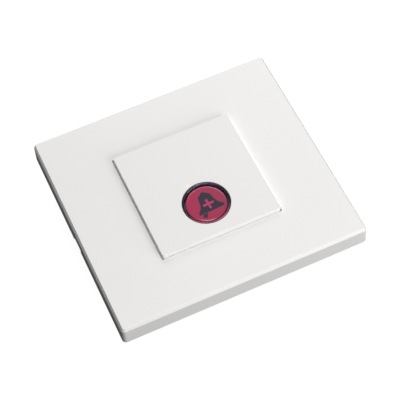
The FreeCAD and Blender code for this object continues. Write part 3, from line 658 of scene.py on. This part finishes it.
class CALLBUTTON_OT_button_lens(Operator):
    """Builds the red lens with its falling rim, and its dark legend"""
    bl_idname = "callbutton.button_lens"
    bl_label = "Lens and Legend"

    def execute(self, context):
        sizes = context.scene.call_button_push
        haze = (sizes.haze_spacing, sizes.haze_height)
        low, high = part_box("button_lens")
        middle = (low + high) / 2
        # Deep red polished plastic with a slightly soft shine.
        lens, tree, shader, place = textured("polycarbonate_red_moulded_polished", sizes.lens_colour, *haze,
                                             roughness=0.19, shade=0.94, ior=1.58)
        # Painted shade: the lens darkens towards its right edge.
        across = add(tree, "ShaderNodeSeparateXYZ", {0: place}).outputs["X"]
        shade = mapped(tree, across, (middle.x, high.x), (0, sizes.lens_painted_shade_level))
        overlay(tree, shader, shade, base_color=rgba(sizes.lens_painted_shade_colour))
        plus = from_place(tree, place, middle.x + sizes.legend_place[0], middle.y + sizes.legend_place[1])
        overlay(tree, shader, compute(tree, "LESS_THAN", plus, sizes.plus_reach), base_color=rgba(sizes.plus_colour))
        # A dense print with a faint mottle, a little duller than the lens.
        ink = textured("ink_dark_screen_printed", sizes.ink_colour, *haze, roughness=0.22, shade=0.85, ior=1.5)[0]
        mesh = legend_mesh(sizes, middle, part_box("bell_symbol")[0].z, high.z)
        legend = finish_piece(mesh, "legend_bell", [ink], "button", "legend_ink", "bell_symbol")
        mesh = cut_by(revolved(self.profile(sizes, low, high), middle, sizes.segments), legend)
        finish_piece(mesh, "lens_red", [lens], "button", "red_lens", "button_lens")
        return {"FINISHED"}

    def profile(self, sizes, low, high):
        """Half section of the lens: a flat middle, a falling rim and a wall under it."""
        radius = (high.x - low.x) / 2
        inner = radius - sizes.lens_wall
        top = high.z - sizes.ink_proud
        under = high.z - sizes.lens_roof
        points = [(WELD, top), (sizes.lens_flat - sizes.lens_strip, top)]
        for step in range(sizes.rim_steps + 1):
            angle = math.pi / 2 * step / sizes.rim_steps
            points.append((sizes.lens_flat + (radius - sizes.lens_flat) * math.sin(angle),
                           top - sizes.lens_fall * (1 - math.cos(angle))))
        return points + [(radius, low.z), (inner, low.z), (inner, under), (WELD, under)]


class CALLBUTTON_OT_button_inside(Operator):
    """Finishes the milky parts under the lens and the switch, and builds the spring"""
    bl_idname = "callbutton.button_inside"
    bl_label = "Carrier, Spring and Switch"

    def execute(self, context):
        sizes = context.scene.call_button_inside
        push = context.scene.call_button_push
        moulded = context.scene.call_button_moulded
        grain = (moulded.grain_spacing, moulded.grain_height)
        # Milky plastic spreads the lamps' light evenly under the lens.
        clothe("diffuser_disc", textured("polycarbonate_milky_moulded", sizes.milky_colour, *grain, roughness=0.4,
                                         ior=1.58))
        # Painted shade: the carrier is coloured dark outside, so that the groove round the lens looks dark.
        made = textured("polycarbonate_milky_lacquered", sizes.milky_colour, *grain, roughness=0.4, ior=1.58)
        material, tree, shader, place = made
        low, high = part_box("button_carrier")
        away = from_place(tree, place, (low.x + high.x) / 2, (low.y + high.y) / 2)
        overlay(tree, shader, compute(tree, "GREATER_THAN", away, sizes.carrier_wall),
                base_color=rgba(push.painted_shade_wall_colour))
        clothe("button_carrier", made)
        # Glass-filled plastic looks flat and slightly speckled.
        black = textured("polyamide_black_moulded", sizes.black_colour, moulded.grain_spacing, moulded.coarse_height,
                         roughness=0.4)
        for name in ("switch_body", "switch_plunger"):
            clothe(name, black)
        # Drawn wire shows fine lines and a dull grey shine.
        wire = textured("steel_spring_drawn_wire", sizes.spring_colour, sizes.mark_spacing, sizes.mark_height,
                        roughness=0.3, shade=0.82, metallic=1)[0]
        spring = finish_piece(copy_of("return_spring"), "spring_coil", [wire], "base", "spring_steel", "return_spring")
        # The spring stands on the board.
        low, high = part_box("return_spring")
        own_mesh(spring)
        return {"FINISHED"}


class CALLBUTTON_OT_metal_parts(Operator):
    """Finishes the steel frame, the screws, the clamps and the switch's cover"""
    bl_idname = "callbutton.metal_parts"
    bl_label = "Metal Parts"

    def execute(self, context):
        sizes = context.scene.call_button_inside
        marks = (sizes.mark_spacing, sizes.mark_height)
        # Zinc plating gives pressed sheet a bluish, cloudy shine.
        clothe("mounting_frame", textured("steel_zinc_plated_sheet", sizes.zinc_colour, sizes.spangle_spacing,
                                          sizes.spangle_height, roughness=0.34, shade=0.82, metallic=1))
        # Tin dulls the turned marks to a soft grey shine.
        tinned = textured("steel_tin_plated_turned", sizes.tin_colour, *marks, roughness=0.28, shade=0.82, metallic=1)
        for name in ("board_screws", "terminal_screws", "switch_cover"):
            clothe(name, tinned)
        # Brass keeps its warm colour and the marks of its milling.
        clothe("terminal_clamps", textured("brass_milled", sizes.brass_colour, *marks, roughness=0.3, shade=0.82,
                                           metallic=1))
        return {"FINISHED"}


class CALLBUTTON_OT_board_parts(Operator):
    """Finishes the circuit board, the parts on it and the terminal block"""
    bl_idname = "callbutton.board_parts"
    bl_label = "Board, Lamps and Terminals"

    def execute(self, context):
        sizes = context.scene.call_button_inside
        moulded = context.scene.call_button_moulded
        grain = (moulded.grain_spacing, moulded.grain_height)
        tin = {"base_color": rgba(sizes.tin_colour), "metallic": 1}
        self.finish_board(sizes, grain, tin)
        # Moulded epoxy packages are flat black, and their tinned ends shine.
        ends = (("controller_chip", 1, sizes.chip_half), ("driver_transistors", 0, sizes.transistor_half),
                ("chip_resistors", 0, sizes.resistor_half))
        for name, axis, half in ends:
            made = textured("epoxy_black_" + name, sizes.black_colour, *grain, roughness=0.4)
            material, tree, shader, place = made
            low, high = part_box(name)
            away = from_plane(tree, place, axis, (low[axis] + high[axis]) / 2)
            overlay(tree, shader, compute(tree, "GREATER_THAN", away, half), **tin)
            clothe(name, made)
        # Pale lamp bodies with a yellow window over the emitter.
        made = textured("silicone_lamp_moulded", sizes.milky_colour, *grain, roughness=0.4)
        material, tree, shader, place = made
        low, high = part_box("indicator_leds")
        fold = (sizes.lamp_circle, sizes.lamp_circle)
        away = from_place(tree, place, (low.x + high.x) / 2, (low.y + high.y) / 2, fold)
        overlay(tree, shader, compute(tree, "LESS_THAN", away, sizes.lamp_window), base_color=rgba(sizes.lamp_colour))
        clothe("indicator_leds", made)
        # Drawn aluminium with a printed stripe, on a black moulded base.
        made = textured("aluminium_drawn_can", sizes.can_colour, sizes.mark_spacing, sizes.mark_height,
                        roughness=0.3, metallic=1)
        material, tree, shader, place = made
        low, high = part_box("filter_capacitor")
        along = add(tree, "ShaderNodeSeparateXYZ", {0: place}).outputs
        black = {"base_color": rgba(sizes.black_colour), "metallic": 0}
        for axis, limit in (("X", (low.x + high.x) / 2 - sizes.stripe_place), ("Z", low.z + sizes.can_base)):
            overlay(tree, shader, compute(tree, "LESS_THAN", along[axis], limit), **black)
        clothe("filter_capacitor", made)
        # Matt green plastic with a fine grain.
        clothe("terminal_block", textured("polyamide_green_moulded", sizes.terminal_colour, moulded.grain_spacing,
                                          moulded.coarse_height, roughness=0.5))
        return {"FINISHED"}

    def finish_board(self, sizes, grain, tin):
        """Green solder mask over strips of copper, with plated holes and tinned pads."""
        # Copper strips stand out paler under the glossy mask.
        made = textured("glass_epoxy_solder_mask", sizes.board_colour, *grain, roughness=0.3)
        material, tree, shader, place = made
        strips = add(tree, "ShaderNodeTexBrick", {"Vector": place, "Scale": 1, "Mortar Size": sizes.track_gap,
                                                  "Brick Width": sizes.track_length, "Mortar": (0, 0, 0, 1),
                                                  "Row Height": sizes.track_spacing, "Color1": (1, 1, 1, 1),
                                                  "Color2": (1, 1, 1, 1)}, offset=0.3)
        overlay(tree, shader, strips.outputs["Color"], base_color=rgba(sizes.copper_colour))
        holes = add(tree, "ShaderNodeTexVoronoi", {"Vector": place, "Scale": per(sizes.via_spacing)},
                    voronoi_dimensions="2D")
        limit = sizes.via_radius / sizes.via_spacing
        overlay(tree, shader, compute(tree, "LESS_THAN", holes.outputs["Distance"], limit), **tin)
        away = from_place(tree, place, 0, 0, (sizes.screw_place, sizes.screw_place))
        overlay(tree, shader, compute(tree, "LESS_THAN", away, sizes.screw_pad), **tin)
        # The four terminal pins lie half a pitch and one and a half pitches from the middle.
        low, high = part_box("terminal_screws")
        for share in (0.5, 1.5):
            away = from_place(tree, place, 0, (low.y + high.y) / 2, (share * sizes.pole_pitch, 0))
            overlay(tree, shader, compute(tree, "LESS_THAN", away, sizes.pin_pad), **tin)
        clothe("circuit_board", made)


def lamp(name, azimuth, elevation, distance, width, height, power):
    """Soft lamp that faces the part from a direction, given in degrees as the camera's is."""
    data = bpy.data.lights.new(name, "AREA")
    data.shape = "RECTANGLE"
    data.size = width
    data.size_y = height
    data.energy = power
    made = bpy.data.objects.new(name, data)
    toward = direction(math.radians(azimuth), math.radians(elevation))
    made.location = toward * distance
    made.rotation_euler = toward.to_track_quat("Z", "Y").to_euler()
    bpy.context.scene.collection.objects.link(made)


def direction(azimuth, elevation):
    """Direction from the part towards a viewer: azimuth 0 is in front, below the plate."""
    return Vector((math.sin(azimuth) * math.cos(elevation), -math.cos(azimuth) * math.cos(elevation),
                   math.sin(elevation)))


class CALLBUTTON_OT_studio(Operator):
    """Sets up the floor, the lamps and the camera"""
    bl_idname = "callbutton.studio"
    bl_label = "Studio"

    def execute(self, context):
        scene = context.scene
        studio = scene.call_button_studio
        scene.view_settings.view_transform = "Standard"
        self.make_floor(studio)
        self.make_world(scene, studio)
        for name, place in LAMPS.items():
            lamp(name + "_softbox", *place, getattr(studio, name))
        data = bpy.data.cameras.new("camera")
        data.lens = studio.lens_length
        camera = bpy.data.objects.new("camera", data)
        toward = direction(studio.azimuth, studio.elevation)
        camera.location = Vector(studio.aim) + toward * studio.distance
        turn = Euler((math.pi / 2 - studio.elevation, 0, studio.azimuth)).to_matrix()
        roll = Euler((0, 0, studio.roll)).to_matrix()
        camera.rotation_euler = (turn @ roll).to_euler()
        scene.collection.objects.link(camera)
        scene.camera = camera
        return {"FINISHED"}

    def make_floor(self, studio):
        """Large round floor under the housing. Camera rays see it white with a faint shadow."""
        mesh = bmesh.new()
        bmesh.ops.create_circle(mesh, cap_ends=True, segments=96, radius=studio.floor_radius)
        data = bpy.data.meshes.new("floor")
        mesh.to_mesh(data)
        mesh.free()
        floor = bpy.data.objects.new("floor", data)
        floor.location.z = cad_bounds[0][2] - studio.floor_gap
        # Matt paper keeps a soft shadow. It is clear from below, so the part's back can be seen.
        material, tree, shader, place = start_material("paper_pale_matt")
        tree.nodes.remove(shader)
        paper = add(tree, "ShaderNodeBsdfDiffuse", {"Color": rgba(studio.floor_colour)})
        rays = add(tree, "ShaderNodeLightPath").outputs
        away = add(tree, "ShaderNodeVectorMath", {0: place}, operation="LENGTH").outputs["Value"]
        fade = mapped(tree, away, (studio.mirror_start, studio.mirror_end), (0, studio.mirror_level))
        other = compute(tree, "MAXIMUM", rays["Is Glossy Ray"], rays["Is Transmission Ray"])
        mirrored = compute(tree, "MULTIPLY", other, fade)
        seen = compute(tree, "MULTIPLY", rays["Is Camera Ray"], studio.floor_white)
        sides = [compute(tree, "LESS_THAN", from_plane(tree, place, axis, 0), cad_bounds[1][axis] - studio.patch_inset)
                 for axis in (0, 1)]
        lit = compute(tree, "MULTIPLY", compute(tree, "MULTIPLY", *sides), rays["Is Diffuse Ray"])
        hidden = compute(tree, "MULTIPLY_ADD", lit, studio.patch_level, mirrored)
        white = add(tree, "ShaderNodeEmission", {"Strength": compute(tree, "ADD", seen, hidden)})
        both = add(tree, "ShaderNodeAddShader", {0: paper.outputs[0], 1: white.outputs[0]})
        back = add(tree, "ShaderNodeNewGeometry").outputs["Backfacing"]
        clear = add(tree, "ShaderNodeBsdfTransparent")
        either = add(tree, "ShaderNodeMixShader", {"Fac": back, 1: both.outputs[0], 2: clear.outputs[0]})
        output = next(n for n in tree.nodes if n.type == "OUTPUT_MATERIAL")
        tree.links.new(either.outputs[0], output.inputs["Surface"])
        data.materials.append(material)
        bpy.context.scene.collection.objects.link(floor)

    def make_world(self, scene, studio):
        """Even dim light from all sides, seen white behind the floor."""
        world = bpy.data.worlds.new("studio")
        scene.world = world
        world.use_nodes = True
        tree = world.node_tree
        background = next(n for n in tree.nodes if n.type == "BACKGROUND")
        rays = add(tree, "ShaderNodeLightPath").outputs
        other = compute(tree, "MAXIMUM", rays["Is Glossy Ray"], rays["Is Transmission Ray"])
        dim = compute(tree, "MULTIPLY", other, studio.mirrored_fill)
        seen = compute(tree, "ADD", rays["Is Camera Ray"], dim)
        level = compute(tree, "MAXIMUM", seen, studio.fill_level)
        background.inputs["Color"].default_value = (1, 1, 1, 1)
        tree.links.new(level, background.inputs["Strength"])


OPERATORS = (
    CALLBUTTON_OT_cover_plate,
    CALLBUTTON_OT_module_front,
    CALLBUTTON_OT_module_housing,
    CALLBUTTON_OT_light_ring,
    CALLBUTTON_OT_button_lens,
    CALLBUTTON_OT_button_inside,
    CALLBUTTON_OT_metal_parts,
    CALLBUTTON_OT_board_parts,
    CALLBUTTON_OT_studio,
)

SETTINGS = {
    "call_button_moulded": MouldedParts,
    "call_button_push": PushButton,
    "call_button_inside": InsideParts,
    "call_button_studio": Studio,
}


class CALLBUTTON_PT_sidebar(Panel):
    """Sizes, colours and steps of the call button"""
    bl_idname = "CALLBUTTON_PT_sidebar"
    bl_label = "Call Button"
    bl_space_type = "VIEW_3D"
    bl_region_type = "UI"
    bl_category = "Call Button"

    def draw(self, context):
        for setting in SETTINGS:
            group = getattr(context.scene, setting)
            box = self.layout.box()
            for name in group.bl_rna.properties.keys():
                if name not in ("rna_type", "name"):
                    box.prop(group, name)
        for step in OPERATORS:
            self.layout.operator(step.bl_idname)


def register():
    for group in SETTINGS.values():
        bpy.utils.register_class(group)
    for step in OPERATORS:
        bpy.utils.register_class(step)
    bpy.utils.register_class(CALLBUTTON_PT_sidebar)
    for setting, group in SETTINGS.items():
        setattr(bpy.types.Scene, setting, PointerProperty(type=group))


def unregister():
    for setting in SETTINGS:
        delattr(bpy.types.Scene, setting)
    bpy.utils.unregister_class(CALLBUTTON_PT_sidebar)
    for step in reversed(OPERATORS):
        bpy.utils.unregister_class(step)
    for group in reversed(SETTINGS.values()):
        bpy.utils.unregister_class(group)


def main():
    register()
    bpy.ops.callbutton.cover_plate()
    bpy.ops.callbutton.module_front()
    bpy.ops.callbutton.module_housing()
    bpy.ops.callbutton.light_ring()
    bpy.ops.callbutton.button_lens()
    bpy.ops.callbutton.button_inside()
    bpy.ops.callbutton.metal_parts()
    bpy.ops.callbutton.board_parts()
    bpy.ops.callbutton.studio()


if __name__ == "__main__":
    main()
